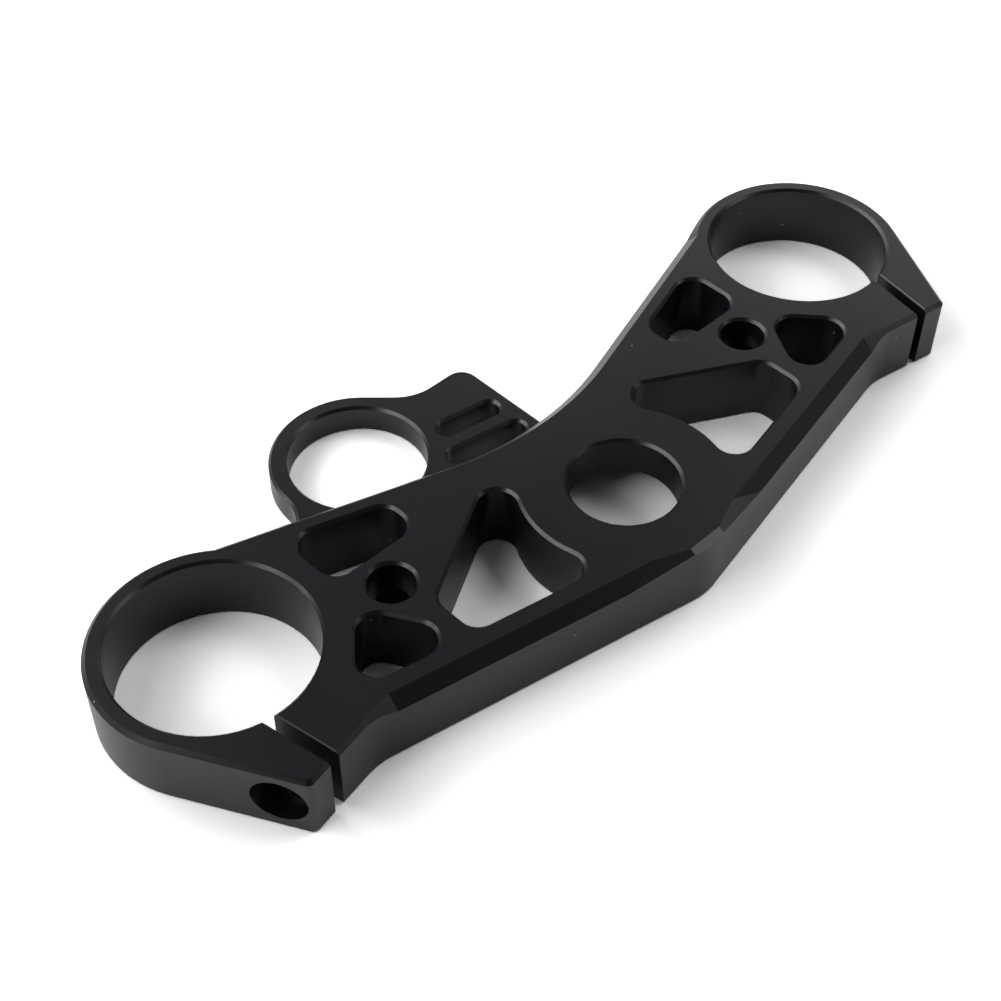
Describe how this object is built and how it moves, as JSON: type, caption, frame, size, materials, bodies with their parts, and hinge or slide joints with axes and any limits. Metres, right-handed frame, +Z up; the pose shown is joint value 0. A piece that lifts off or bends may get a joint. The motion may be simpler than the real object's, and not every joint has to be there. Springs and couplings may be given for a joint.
{
  "type": "motorcycle triple clamp",
  "caption": "Flat yoke for a motorcycle front fork: split fork clamps at both ends, stem bore, bar mount holes, lightening pockets and a low ring bracket for the lock.",
  "frame": {"origin": "on the axis of the stem bore, at the flat underside", "axes": "+X towards the right fork clamp, +Y towards the front of the bike, +Z up along the stem"},
  "size_m": [0.2692, 0.1127, 0.019],
  "materials": {
    "black_anodised": "satin black anodised"
  },
  "bodies": {
    "root": {"triple_clamp": "black_anodised"}
  },
  "joints": []
}
